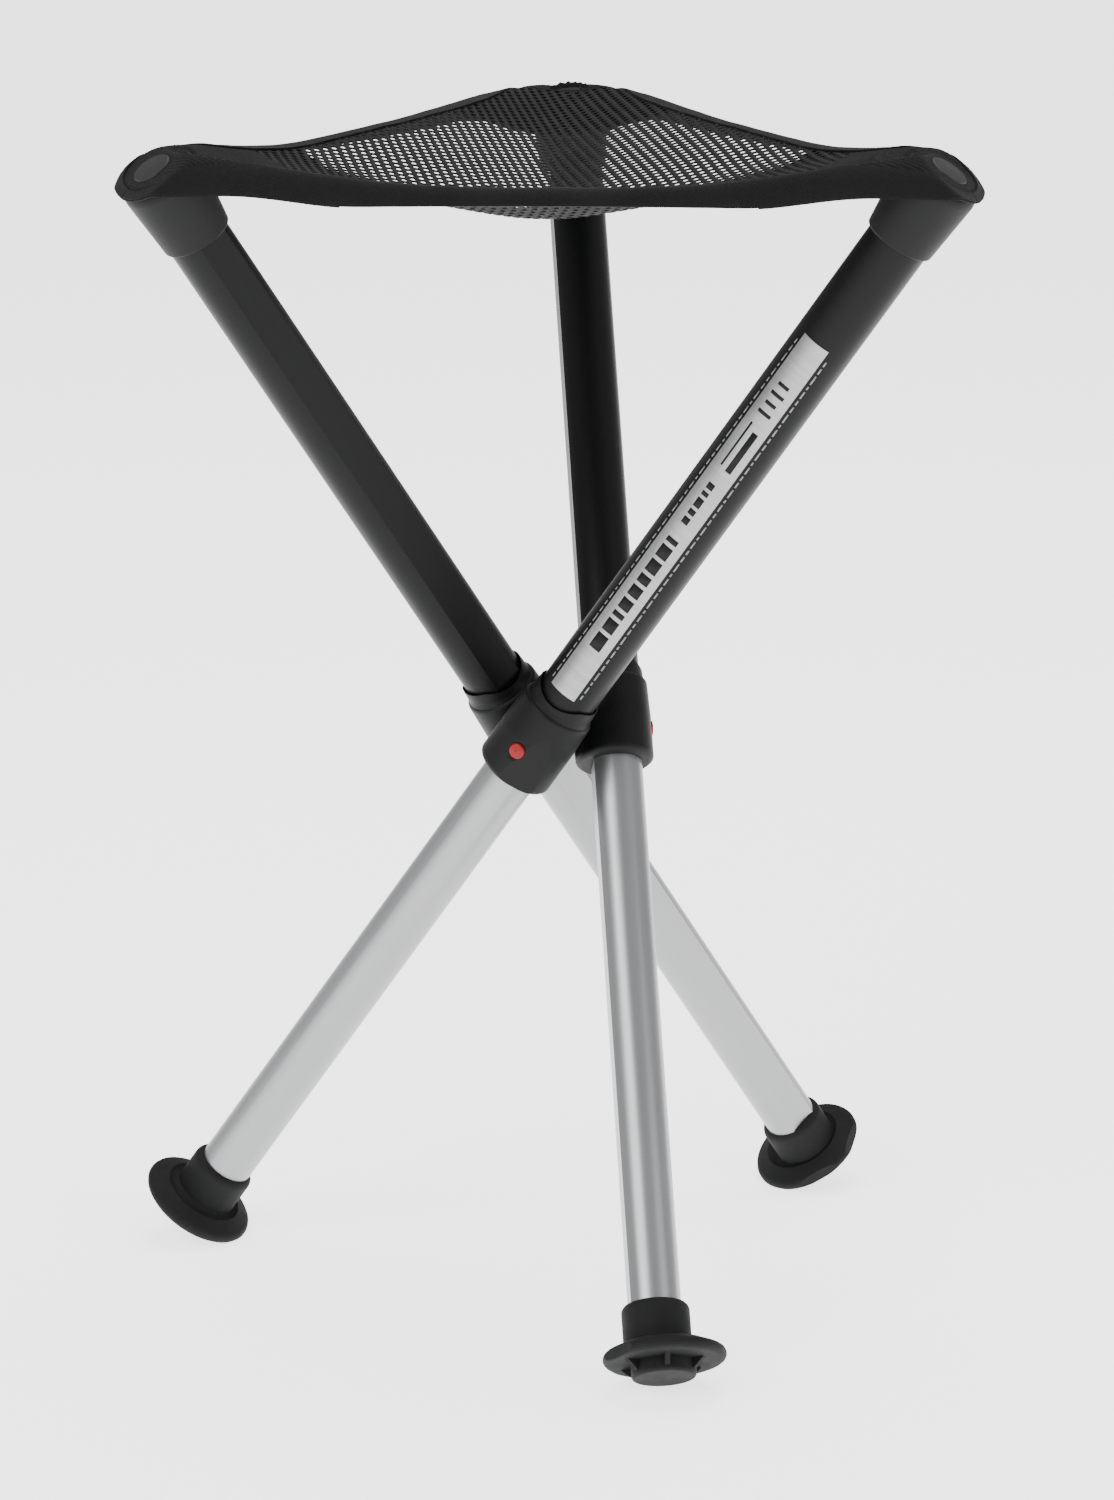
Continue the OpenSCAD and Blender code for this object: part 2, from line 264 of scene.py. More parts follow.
def waves(tree, coords, direction, pitch):
    """Straight ribs across a direction, one every pitch metres."""
    dot = tree.nodes.new("ShaderNodeVectorMath")
    dot.operation = "DOT_PRODUCT"
    tree.links.new(coords, dot.inputs[0])
    dot.inputs[1].default_value = direction
    turns = tree.nodes.new("ShaderNodeMath")
    turns.operation = "MULTIPLY"
    turns.inputs[1].default_value = 2*math.pi/pitch
    tree.links.new(dot.outputs["Value"], turns.inputs[0])
    wave = tree.nodes.new("ShaderNodeMath")
    wave.operation = "SINE"
    tree.links.new(turns.outputs[0], wave.inputs[0])
    return wave.outputs[0]


def knitted_fabric(name, colour, pitch, directions, depth=0.0001, sheen=0.06):
    """Black polyester: two crossing sets of yarns, with painted shade in the hollows between them and
    painted highlight on their crowns, a fuzz of fibres and uneven dye.
    """
    material, bsdf, tree = shader(name, colour, 0.78, Specular_IOR_Level=0.12, Sheen_Weight=sheen,
                                  Sheen_Roughness=0.45)
    coords = place(tree)
    first = waves(tree, coords, directions[0], pitch)
    second = waves(tree, coords, directions[1], pitch*0.8)
    product = tree.nodes.new("ShaderNodeMath")
    product.operation = "MULTIPLY"
    tree.links.new(first, product.inputs[0])
    tree.links.new(second, product.inputs[1])
    fibres = noise(tree, coords, 2400, 3)
    total = tree.nodes.new("ShaderNodeMath")
    total.operation = "ADD"
    tree.links.new(product.outputs[0], total.inputs[0])
    tree.links.new(fibres, total.inputs[1])
    dye = noise(tree, coords, 70, 4)
    # painted shade and highlight: the colour darkens where the crossing yarns dip and lightens where they
    # rise, following their relief
    tint(tree, bsdf, spread(tree, product.outputs[0], 0, 1, 0.0, 1.0),
         tuple(c*0.55 for c in colour), tuple(c*1.45 for c in colour))
    tree.links.new(spread(tree, dye, 0.7, 0.86), bsdf.inputs["Roughness"])
    bump(tree, bsdf, total.outputs[0], depth, 0.8)
    return material


# ---------------------------------------------------------------- leg frames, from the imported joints

HUB = Vector(JOINTS["fold_1"]["pos_m"])


class Leg:
    """A leg's own frame: x along its pivot, outward from the hub, and z up the leg."""

    def __init__(self, number):
        self.number = number
        self.x = Vector(JOINTS[f"fold_{number}"]["axis"]).normalized()
        self.z = Vector(JOINTS[f"extend_{number}"]["axis"]).normalized()
        self.y = self.z.cross(self.x)
        low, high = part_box(f"corner_patch_{number}")
        on_axis = (low + high)/2
        self.pivot = on_axis - self.z*(on_axis - HUB).dot(self.z)
        self.corner_az = math.degrees(math.atan2(on_axis.y, on_axis.x))

    def point(self, x, y, z):
        return self.pivot + self.x*x + self.y*y + self.z*z

    def axes(self):
        return [tuple(v) for v in (self.x, self.y, self.z)]


LEG = {i: Leg(i) for i in LEGS}


# ---------------------------------------------------------------- mesh helpers

def new_piece(name, points, faces, material, smooth=True):
    mesh = bpy.data.meshes.new(name)
    mesh.from_pydata([tuple(p) for p in points], [], faces)
    mesh.validate()
    mesh.polygons.foreach_set("use_smooth", [smooth]*len(mesh.polygons))
    mesh.materials.append(material)
    piece = bpy.data.objects.new(name, mesh)
    bpy.context.scene.collection.objects.link(piece)
    return piece


def apply_modifiers(piece):
    depsgraph = bpy.context.evaluated_depsgraph_get()
    mesh = bpy.data.meshes.new_from_object(piece.evaluated_get(depsgraph))
    piece.modifiers.clear()
    piece.data = mesh
    return piece


def thicken(piece, thickness, offset=0.0, even=True):
    """Gives a surface its thickness. Offset is -1 to 1, from all below it to all above it."""
    solid = piece.modifiers.new("thickness", "SOLIDIFY")
    solid.thickness, solid.offset = thickness, offset
    solid.use_even_offset = even
    return apply_modifiers(piece)


def round_edges(piece, width, segments, angle):
    bevel = piece.modifiers.new("edges", "BEVEL")
    bevel.width, bevel.segments = width, segments
    bevel.limit_method, bevel.angle_limit = "ANGLE", math.radians(angle)
    bevel.harden_normals = False
    return apply_modifiers(piece)


def grid_faces(rows, columns):
    return [(r*columns + c, r*columns + c + 1, (r + 1)*columns + c + 1, (r + 1)*columns + c)
            for r in range(rows - 1) for c in range(columns - 1)]


# ---------------------------------------------------------------- seat surface
# One sagging surface carries the nets, the corner fabrics, their linings and the hems. In a corner's
# own frame X runs from the seat's centre to the corner and Y across, and its outline is mirrored
# about the X axis.

CORNER_R = 176.1*MM                # centre to rivet
TIP_A, TIP_B = 14.9*MM, 18.8*MM    # half axes of the rounded tip over the cap, in plan
EDGE_MID = 91.0*MM                 # centre to the middle of an edge
EDGE_TURN = 74.0                   # where the rounded tip runs into the edge, in degrees
RIDGE_MID = 85.0*MM                # centre to the straight line of tension inside each edge
RIDGE_ROUND = 7.0                  # degrees over which that line rounds the corner
SAG_AT = (-4*MM, -38*MM)           # lowest point of the sag in plan, nearer the front edge
SAG_Z = 445.6*MM
SAG_SOFT = 0.1                     # how round the bottom of the sag is
REAR_Z, REAR_RISE, REAR_REACH = 471.6*MM, 4.8*MM, 125*MM
SIDE_RISE, SIDE_REACH = 5.6*MM, 52*MM
DIP, DIP_AT, DIP_WIDTH = 1.7*MM, 96*MM, 32*MM      # slack beside the front corners, on the rear edges
FRONT_Z, FRONT_RISE, FRONT_REACH = 462.4*MM, 14.6*MM, 68*MM
CORNER_EDGE_Z = 461.9*MM           # lower edge of the fabric beside the caps
REAR_EDGE_Z, FRONT_EDGE_Z = 466.2*MM, 456.6*MM
REAR_EDGE_RUN = (22*MM, 58*MM)     # from the rivet to where that edge starts to rise, and over how much
FRONT_EDGE_RUN = (30*MM, 50*MM)
FABRIC_ON_CAP = 296.7*MM           # height along the leg of the fabric clamped round the rivet
CAP_FLAT_R, CAP_ROUND = 11.3*MM, 5.4*MM
CAP_TOP = 294.3*MM
CAP_ZONE = 40*MM                   # round the rivet, where the fabric is fitted to the cap
CLAMP_LIFT, CLAMP_SOFT = 0.25*MM, 1.0*MM   # how the clamped part runs softly into the rest
SHOULDER_SHARE = 0.97              # of the cap's rounding, which the fabric follows
CAP_CLEAR = 0.65*MM                # from the cap to the middle of the fabric
TIP_TUCK = 3.4*MM                  # how far the outer tip draws in under the cap's lean
TUCK_FROM, TUCK_OVER = 0.55, 0.45  # where that starts between the line of tension and the edge
PATCH_X = {1: 117*MM, 2: 157*MM, 3: 117*MM}    # inner edge of each corner's ribbed fabric
LINING_X = 90*MM                   # inner edge of the lining under each corner
LINING_TIP_X = 160*MM              # outer end of the lining, short of the cap
LINING_DROP = 1.3*MM               # from the net down to the lining
FRONT_AZ = (210.0, 330.0)          # azimuths of the front edge's two corners
FRONT_SOFT = 2.5                   # degrees over which the front edge's shape gives way at them
BLEND_FROM, BLEND_TO = 8*MM, 44*MM     # inward from the rivet, where the fabric would leave the leg
TIP_POINTS, EDGE_POINTS = 40, 80   # along half an outline
HALVINGS = 34                      # steps of the search for the line of tension


def smoothstep(t):
    t = np.clip(t, 0, 1)
    return t*t*(3 - 2*t)


def soft_min(a, b, k):
    return 0.5*(a + b - np.sqrt((a - b)**2 + k*k))


def half_outline():
    """The seat's edge in plan, from a corner's tip to the middle of an edge."""
    turn = np.radians(np.linspace(0, EDGE_TURN, TIP_POINTS))
    tip = np.stack([CORNER_R + TIP_A*np.cos(turn), TIP_B*np.sin(turn)], 1)
    leave = np.array([-TIP_A*np.sin(turn[-1]), TIP_B*np.cos(turn[-1])])
    middle = EDGE_MID*np.array([math.cos(math.pi/3), math.sin(math.pi/3)])
    arrive = np.array([-math.sin(math.pi/3), math.cos(math.pi/3)])
    k = np.linalg.solve(np.stack([leave, arrive], 1), middle - tip[-1])
    knee = tip[-1] + leave*k[0]
    t = np.linspace(0, 1, EDGE_POINTS)[1:, None]
    edge = (1 - t)**2*tip[-1] + 2*t*(1 - t)*knee + t*t*middle
    return np.concatenate([tip, edge])


OUTLINE = half_outline()
OUTLINE_RUN = np.concatenate([[0], np.cumsum(np.linalg.norm(np.diff(OUTLINE, axis=0), axis=1))])
OUTLINE_AZ = np.arctan2(OUTLINE[:, 1], OUTLINE[:, 0])
OUTLINE_R = np.linalg.norm(OUTLINE, axis=1)
# a billionth of a metre a point keeps their X values apart
OUTLINE_SLOPE = np.gradient(OUTLINE[:, 1], OUTLINE[:, 0] - 1e-9*np.arange(len(OUTLINE)))


def outline_at(run):
    """Points of the outline in plan, at distances along it from the tip."""
    return np.stack([np.interp(run, OUTLINE_RUN, OUTLINE[:, k]) for k in (0, 1)], -1)


def edge_distance(x, y):
    """Distance in plan from a point to the seat's edge, in a corner's frame."""
    out = np.interp(-x, -OUTLINE[:, 0], OUTLINE[:, 1])
    beyond = x < OUTLINE[-1, 0]
    out = np.where(beyond, OUTLINE[-1, 1] + (OUTLINE[-1, 0] - x)*math.tan(math.pi/6), out)
    slope = np.interp(-x, -OUTLINE[:, 0], OUTLINE_SLOPE)
    return (out - np.abs(y))/np.sqrt(1 + slope**2)


def turned(x, y, degrees):
    c, s = math.cos(math.radians(degrees)), math.sin(math.radians(degrees))
    return x*c - y*s, x*s + y*c


def from_corner(x, y):
    """Angle off the nearest corner's line, from 0 at the corner to 60 degrees at the middle of an edge."""
    az = np.degrees(np.arctan2(y, x)) - LEG[2].corner_az
    return np.radians(np.abs((az + 60) % 120 - 60))


def ridge_radius(x, y):
    """Centre to the line of tension, in a point's direction."""
    full, soft = math.pi/3, math.radians(RIDGE_ROUND)
    bent = (np.sqrt(from_corner(x, y)**2 + soft*soft) - soft)/(math.sqrt(full*full + soft*soft) - soft)
    return RIDGE_MID/np.cos(full - bent*full)


def sag_share(px, py):
    """How far points lie from the bottom of the sag to the line of tension, and where they meet it."""
    dx, dy = px - SAG_AT[0], py - SAG_AT[1]
    low, high = np.full_like(px, 1e-3), np.full_like(px, 1e3)
    for _ in range(HALVINGS):
        grow = np.sqrt(low*high)
        qx, qy = SAG_AT[0] + dx*grow, SAG_AT[1] + dy*grow
        outside = np.hypot(qx, qy) > ridge_radius(qx, qy)
        high = np.where(outside, grow, high)
        low = np.where(outside, low, grow)
    return 1/low, SAG_AT[0] + dx*low, SAG_AT[1] + dy*low


def sag_shape(rho):
    """Rise from the bottom of the sag to the line of tension, round at first and then straight."""
    return (np.sqrt(rho*rho + SAG_SOFT**2) - SAG_SOFT)/(math.sqrt(1 + SAG_SOFT**2) - SAG_SOFT)


def roll_down(share):
    """The drop from the line of tension to the edge, a quarter of an ellipse that ends nearly upright."""
    upright = 0.985
    return (1 - np.sqrt(1 - (upright*share)**2))/(1 - math.sqrt(1 - upright**2))


def front_share(qx, qy):
    """1 along the front edge and 0 along the rear two."""
    az = np.degrees(np.arctan2(qy, qx)) % 360
    return 0.5*(np.tanh((az - FRONT_AZ[0])/FRONT_SOFT) - np.tanh((az - FRONT_AZ[1])/FRONT_SOFT))


def to_corner(qx, qy, leg):
    cx, cy = turned(CORNER_R, 0.0, leg.corner_az)
    return np.hypot(qx - cx, qy - cy)


def ridge_height(qx, qy):
    rear = REAR_Z + REAR_RISE*np.exp(-(to_corner(qx, qy, LEG[2])/REAR_REACH)**3)
    front = FRONT_Z + 0*qx
    for leg in (LEG[1], LEG[3]):
        away = to_corner(qx, qy, leg)
        rear = rear + SIDE_RISE*np.exp(-(away/SIDE_REACH)**3) - DIP*np.exp(-((away - DIP_AT)/DIP_WIDTH)**2)
        front = front + FRONT_RISE*np.exp(-(away/FRONT_REACH)**2)
    share = front_share(qx, qy)
    return rear + (front - rear)*share


def edge_height(px, py, run):
    """Height of the seat's edge, by its distance in plan from the rivet."""
    def level(z, start, over):
        return z + (CORNER_EDGE_Z - z)*(1 - smoothstep((run - start)/over))

    front = level(FRONT_EDGE_Z, *FRONT_EDGE_RUN)
    rear = level(REAR_EDGE_Z, *REAR_EDGE_RUN)
    return rear + (front - rear)*front_share(px, py)


def square_plane(leg, px, py, height):
    """Z over plan points of the plane square to a leg, at a height along it."""
    return leg.pivot.z + (height - (px - leg.pivot.x)*leg.z.x - (py - leg.pivot.y)*leg.z.y)/leg.z.z


def cap_surface(leg, px, py):
    """Z of the cap's top and rounded shoulder over plan points, and their distance from the leg's axis."""
    z = square_plane(leg, px, py, CAP_TOP)
    for _ in range(8):
        d = np.stack([px - leg.pivot.x, py - leg.pivot.y, z - leg.pivot.z], -1)
        radius = np.hypot(d @ np.array(leg.x), d @ np.array(leg.y))
        over = np.clip(radius - CAP_FLAT_R, 0, CAP_ROUND*SHOULDER_SHARE)
        z = square_plane(leg, px, py, CAP_TOP - (CAP_ROUND - np.sqrt(CAP_ROUND**2 - over**2)))
    return z, radius


def tip_tuck(leg, px, py, share):
    """How far the outer tip tucks back under the cap's lean, and the direction in plan of that lean."""
    lean = np.array([leg.z.x, leg.z.y])/math.hypot(leg.z.x, leg.z.y)
    tip_x, tip_y = turned(CORNER_R, 0.0, leg.corner_az)
    off = np.stack([px - tip_x, py - tip_y], -1)
    facing = np.clip((off @ lean)/np.maximum(np.linalg.norm(off, axis=-1), 1e-6), 0, 1)
    return TIP_TUCK*facing*smoothstep((share - TUCK_FROM)/TUCK_OVER), lean


def fabric(leg, x, y):
    """The middle of the fabric over plan points in a leg's corner frame, as points in the row frame."""
    x, y = np.asarray(x, float), np.asarray(y, float)
    px, py = turned(x, y, leg.corner_az)
    rho, qx, qy = sag_share(px, py)
    ridge_z = ridge_height(qx, qy)
    z = SAG_Z + (ridge_z - SAG_Z)*sag_shape(np.minimum(rho, 1))
    # outside the line of tension the fabric rolls down to its edge
    az = from_corner(px, py)
    out_r, in_r = np.interp(az, OUTLINE_AZ, OUTLINE_R), ridge_radius(px, py)
    share = np.clip((np.hypot(x, y) - in_r)/(out_r - in_r), 0, 1)
    run = np.hypot(out_r*np.cos(az) - CORNER_R, out_r*np.sin(az))
    z = z - (ridge_z - edge_height(px, py, run))*roll_down(share)
    # over the cap it is under the plane that it is clamped at, and clear of the rounded shoulder
    near = np.hypot(x - CORNER_R, y) < CAP_ZONE
    clamped = square_plane(leg, px, py, FABRIC_ON_CAP) + CLAMP_LIFT
    z = np.where(near, soft_min(z, clamped, CLAMP_SOFT), z)
    cap_z, radius = cap_surface(leg, px, py)
    on_cap = near & (radius < CAP_FLAT_R + CAP_ROUND)
    z = np.where(on_cap, np.maximum(z, cap_z + CAP_CLEAR), z)
    tuck, lean = tip_tuck(leg, px, py, share)
    tuck = tuck*near
    return np.stack([px - lean[0]*tuck, py - lean[1]*tuck, z], -1)


def blend_to_panel(piece, leg):
    """Bakes a piece's placement into its mesh. The middle of the fabric is found where it would leave the
    leg, but nothing uses it.
    """
    start = fabric(leg, CORNER_R - BLEND_FROM, 0.0)
    end = fabric(leg, CORNER_R - BLEND_TO, 0.0)
    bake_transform(piece)


# ---------------------------------------------------------------- seat pieces

MESH_ROW = np.array([4.22, -0.90])*MM      # lattice steps of the knitted net, in plan
MESH_COLUMN = np.array([0.97, -4.18])*MM
HOLE_HALF = np.array([1.08, 1.40])*MM
MESH_T = 0.38*MM
YARN_RISE = 0.12*MM
NET_REACH = 58                     # lattice steps each way from the centre, past every corner
NET_EDGE = 5.4*MM                  # the net stops this far inside the seat's edge, under the hem
NET_UNDER = 3*MM                   # and runs this far under the corner fabric
CELL_POINTS = 12                   # round a cell's rim, and round its hole


def net_cells():
    """Corner steps of each net cell, its centre, and its twelve rim and hole points."""
    share = np.array([0, 1/3, 2/3])
    sides = [(-.5, -.5, 1, 0), (.5, -.5, 0, 1), (.5, .5, -1, 0), (-.5, .5, 0, -1)]
    rim = np.array([[a + c*s, b + d*s] for a, b, c, d in sides for s in share])
    offsets = rim[:, :1]*MESH_ROW + rim[:, 1:]*MESH_COLUMN
    angles = np.arctan2(offsets[:, 1]/HOLE_HALF[1], offsets[:, 0]/HOLE_HALF[0])
    holes = np.stack([HOLE_HALF[0]*np.cos(angles), HOLE_HALF[1]*np.sin(angles)], 1)
    return rim, offsets, holes


def corner_frame(points, leg):
    """Plan points of the row frame, turned into a leg's corner frame."""
    turn = math.radians(-leg.corner_az)
    c, s = math.cos(turn), math.sin(turn)
    return points @ np.array([[c, s], [-s, c]])


def seat_net(leg, side, material):
    rim, offsets, holes = net_cells()
    span = range(-NET_REACH, NET_REACH + 1)
    steps = [(a, b) for a in span for b in span]
    centres = np.array([a*MESH_ROW + b*MESH_COLUMN for a, b in steps])
    own = corner_frame(centres, leg)
    az = np.degrees(np.arctan2(own[:, 1], own[:, 0]))*SIDES[side]
    inside = (az >= 0) & (az < 60) & (own[:, 0] < PATCH_X[leg.number] + NET_UNDER)
    inside &= edge_distance(own[:, 0], own[:, 1]) > NET_EDGE
    points, faces, known = [], [], {}
    for (a, b), centre, used in zip(steps, centres, inside):
        if not used:
            continue
        outer = []
        for k in range(CELL_POINTS):
            key = (round((a + rim[k][0])*6), round((b + rim[k][1])*6))
            if key not in known:
                known[key] = len(points)
                points.append((*(centre + offsets[k]), YARN_RISE))
            outer.append(known[key])
        first = len(points)
        points.extend((*(centre + h), -YARN_RISE) for h in holes)
        for k in range(CELL_POINTS):
            n = (k + 1) % CELL_POINTS
            faces.append((outer[k], outer[n], first + n, first + k))
    flat = np.array(points)
    own = corner_frame(flat[:, :2], leg)
    placed = fabric(leg, own[:, 0], own[:, 1])
    placed[:, 2] += flat[:, 2]
    faces = [tuple(reversed(f)) for f in faces]
    piece = new_piece(f"seat_net_{leg.number}{side}", placed, faces, material)
    thicken(piece, MESH_T, even=False)
    return piece


RIB_PITCH = 1.7*MM
RIB_DEPTH = 0.24*MM
RIB_ACROSS = (0.53, 0.85)          # direction in plan across the ribs
RIB_FREE_R, RIB_GROW_R = 8*MM, 6*MM        # round the rivet: no ribs at first, then they grow
RIB_FREE_EDGE, RIB_GROW_EDGE = 3*MM, 3*MM  # and the same inward from the edge
FABRIC_ROW, FIRST_ROW = 0.55*MM, 0.5*MM    # from row to row of points, and from the rivet to the first
TIP_ROWS, FABRIC_COLUMNS = 28, 64
TIP_TRIM = 0.02*MM                 # keeps the outermost row from shrinking to a point
PATCH_T = 0.8*MM
LINING_T = 0.5*MM
LINING_UNDER = 14*MM               # how far the lining runs under the corner fabric
LINING_EDGE = 3.2*MM               # from the seat's edge to the lining
LINING_ROW, LINING_COLUMNS = 1.5*MM, 40


def corner_fabric(leg, side, material):
    """Ribbed fabric from the corner's tip to its straight inner edge, one half of a corner."""
    sign = SIDES[side]
    turn = np.radians(np.linspace(0, 90, TIP_ROWS))
    tip = CORNER_R + TIP_A*np.cos(turn)
    inner = PATCH_X[leg.number]
    body = np.arange(CORNER_R - FIRST_ROW, inner, -FABRIC_ROW)
    rows = np.concatenate([tip[:-1], body, [inner]])
    rows[0] -= TIP_TRIM
    out = np.interp(-rows, -OUTLINE[:, 0], OUTLINE[:, 1])
    across = np.linspace(0, 1, FABRIC_COLUMNS)
    x = np.repeat(rows[:, None], FABRIC_COLUMNS, 1)
    y = sign*out[:, None]*across[None, :]
    placed = fabric(leg, x, y)
    ribs = np.sin((RIB_ACROSS[0]*placed[..., 0] + RIB_ACROSS[1]*placed[..., 1])*2*math.pi/RIB_PITCH)
    fade = smoothstep((np.hypot(x - CORNER_R, y) - RIB_FREE_R)/RIB_GROW_R)
    fade = fade*smoothstep((out[:, None]*(1 - across[None, :]) - RIB_FREE_EDGE)/RIB_GROW_EDGE)
    placed[..., 2] += RIB_DEPTH*ribs*fade
    faces = grid_faces(len(rows), FABRIC_COLUMNS)
    if sign > 0:
        faces = [tuple(reversed(f)) for f in faces]
    piece = new_piece(f"corner_fabric_{leg.number}{side}", placed.reshape(-1, 3), faces, material)
    thicken(piece, PATCH_T, 0.25)
    return piece


def corner_lining(leg, side, material):
    """Plain cloth under the net, from a straight inner edge to beneath the corner fabric."""
    sign = SIDES[side]
    outer = min(PATCH_X[leg.number] + LINING_UNDER, LINING_TIP_X)
    rows = np.arange(outer, LINING_X, -LINING_ROW)
    out = np.interp(-rows, -OUTLINE[:, 0], OUTLINE[:, 1]) - LINING_EDGE
    x = np.repeat(rows[:, None], LINING_COLUMNS, 1)
    y = sign*out[:, None]*np.linspace(0, 1, LINING_COLUMNS)[None, :]
    placed = fabric(leg, x, y)
    placed[..., 2] -= LINING_DROP
    faces = grid_faces(len(rows), LINING_COLUMNS)
    if sign > 0:
        faces = [tuple(reversed(f)) for f in faces]
    piece = new_piece(f"corner_lining_{leg.number}{side}", placed.reshape(-1, 3), faces, material)
    thicken(piece, LINING_T, -1)
    return piece


HEM_T = 1.5*MM
HEM_RISE = 0.45*MM
HEM_STEP = 1.6*MM
HEM_NARROW, HEM_WIDER = 4.0*MM, 4.8*MM     # width in plan beside the cap, and what is added along the edge
HEM_RUN = (25*MM, 70*MM)           # where along the edge that starts, and over how much
HEM_SHARES = np.array([0, 0.04, 0.12, 0.25, 0.4, 0.55, 0.7, 0.85, 0.96, 1.0])   # across its width
HEM_WAVES = ((0.08*MM, 6.5*MM), (0.05*MM, 2.9*MM))  # heights and lengths of its slight waves
HEM_EDGE = 0.45*MM
NUDGE = 0.2*MM                     # either way along the outline, to find its direction


def hem_width(run):
    """The hem's width in plan, narrow where it turns down beside the cap and wider along the edge."""
    return HEM_NARROW + HEM_WIDER*smoothstep((run - HEM_RUN[0])/HEM_RUN[1])


def hem_strip(leg, side, material):
    """Binding along half a corner's outline, from the tip to the middle of an edge."""
    sign = SIDES[side]
    total = OUTLINE_RUN[-1]
    runs = np.linspace(0, total, int(total/HEM_STEP))
    ahead = outline_at(np.minimum(runs + NUDGE, total))
    behind = outline_at(np.maximum(runs - NUDGE, 0))
    tangent = (ahead - behind)/np.linalg.norm(ahead - behind, axis=1)[:, None]
    tangent[0] = (0, 1)
    inward = np.stack([-tangent[:, 1], tangent[:, 0]], 1)
    edge = outline_at(runs)
    reach = hem_width(runs)[:, None]*HEM_SHARES[None, :]
    plan = edge[:, None, :] + inward[:, None, :]*reach[..., None]
    placed = fabric(leg, plan[..., 0], sign*np.maximum(plan[..., 1], 0))
    wave = sum(height*np.sin(runs/length) for height, length in HEM_WAVES)
    placed[..., 2] += wave[:, None]*HEM_SHARES[None, :] + HEM_RISE
    faces = grid_faces(len(runs), len(HEM_SHARES))
    if sign < 0:
        faces = [tuple(reversed(f)) for f in faces]
    piece = new_piece(f"edge_hem_{leg.number}{side}", placed.reshape(-1, 3), faces, material)
    thicken(piece, HEM_T, 0.1)
    round_edges(piece, HEM_EDGE, 2, 50)
    return piece


def make_seat(finishes):
    for leg in LEG.values():
        for side in SIDES:
            number = f"{leg.number}{side}"
            net = seat_net(leg, side, finishes["seat_mesh"])
            patch = corner_fabric(leg, side, finishes["patch_fabric"])
            hem = hem_strip(leg, side, finishes["hem_fabric"])
            lining = corner_lining(leg, side, finishes["hem_fabric"])
            for piece in (net, patch, hem, lining):
                blend_to_panel(piece, leg)
            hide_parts(f"seat_panel_{number}")
            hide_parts(f"seat_hem_{number}")
            if side == "a":
                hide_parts(f"corner_patch_{leg.number}")


# ---------------------------------------------------------------- hard parts

FINISH_OF = {
    "hub": "black_plastic", "collar": "black_plastic", "end_cap": "cap_plastic",
    "seat_rivet": "rivet_plastic", "release_button": "red_plastic",
    "thrust_washer": "white_plastic", "guide_bush": "white_plastic",
    "pivot_screw": "steel", "snap_spring": "steel", "snap_pin": "steel",
    "rubber_foot": "foot_rubber", "label_plate": "label_metal",
}


def make_finishes():
    return {
        "black_plastic": moulded_plastic("black_plastic", (0.0036, 0.0037, 0.004), 0.48, 0.00007,
                                         Specular_IOR_Level=0.14),
        "cap_plastic": moulded_plastic("cap_plastic", (0.005, 0.0051, 0.0055), 0.52, 0.00005,
                                       Specular_IOR_Level=0.15),
        "rivet_plastic": moulded_plastic("rivet_plastic", (0.012, 0.0122, 0.013), 0.45, 0.00004,
                                         Specular_IOR_Level=0.25),
        "red_plastic": moulded_plastic("red_plastic", (0.2, 0.003, 0.004), 0.36, 0.00003,
                                       Specular_IOR_Level=0.25),
        "white_plastic": moulded_plastic("white_plastic", (0.7, 0.69, 0.66), 0.4, 0.00003),
        "steel": drawn_aluminium("steel", (0.5, 0.51, 0.52), 0.32, LEG[1].axes(), 1.0),
        "foot_rubber": rubber("foot_rubber", (0.0045, 0.0046, 0.0049)),
        "label_metal": brushed_plate("label_metal", (0.33, 0.33, 0.335), 0.34, LEG[1].axes()),
        "label_ink": moulded_plastic("label_ink", (0.005, 0.005, 0.0055), 0.55, 0.00002,
                                     Specular_IOR_Level=0.15),
        "pale_ink": moulded_plastic("pale_ink", (0.16, 0.16, 0.165), 0.5, 0.00002),
        "seat_mesh": knitted_fabric("seat_mesh", (0.0042, 0.0042, 0.0045), 0.9*MM,
                                    ((0.97, 0.22, 0), (0.22, -0.97, 0))),
        "hem_fabric": knitted_fabric("hem_fabric", (0.0042, 0.0042, 0.0045), 0.8*MM,
                                     ((1, 0.1, 0.1), (0.1, 0.3, 1))),
        "patch_fabric": knitted_fabric("patch_fabric", (0.004, 0.004, 0.0043), 0.7*MM,
                                       ((0.85, -0.53, 0), (0.53, 0.85, 0)), sheen=0.04),
    }


def tube_finish(stem, leg):
    if stem == "upper_tube":
        return drawn_aluminium(f"black_aluminium_{leg.number}", (0.0036, 0.0037, 0.004), 0.42,
                               leg.axes(), 0.0, Specular_IOR_Level=0.14)
    return drawn_aluminium(f"silver_aluminium_{leg.number}", (0.31, 0.312, 0.32), 0.33,
                           leg.axes(), 0.85)


def finish_cad_nodes(finishes):
    for name, node in frame["nodes"].items():
        stem = name.rstrip("_123")
        if stem in ("upper_tube", "lower_tube"):
            finish = tube_finish(stem, LEG[int(name[-1])])
        elif stem in FINISH_OF:
            finish = finishes[FINISH_OF[stem]]
        else:
            continue               # a soft solid that a piece of the seat replaces
        node.data.materials.clear()
        node.data.materials.append(finish)


# ---------------------------------------------------------------- label on leg 1

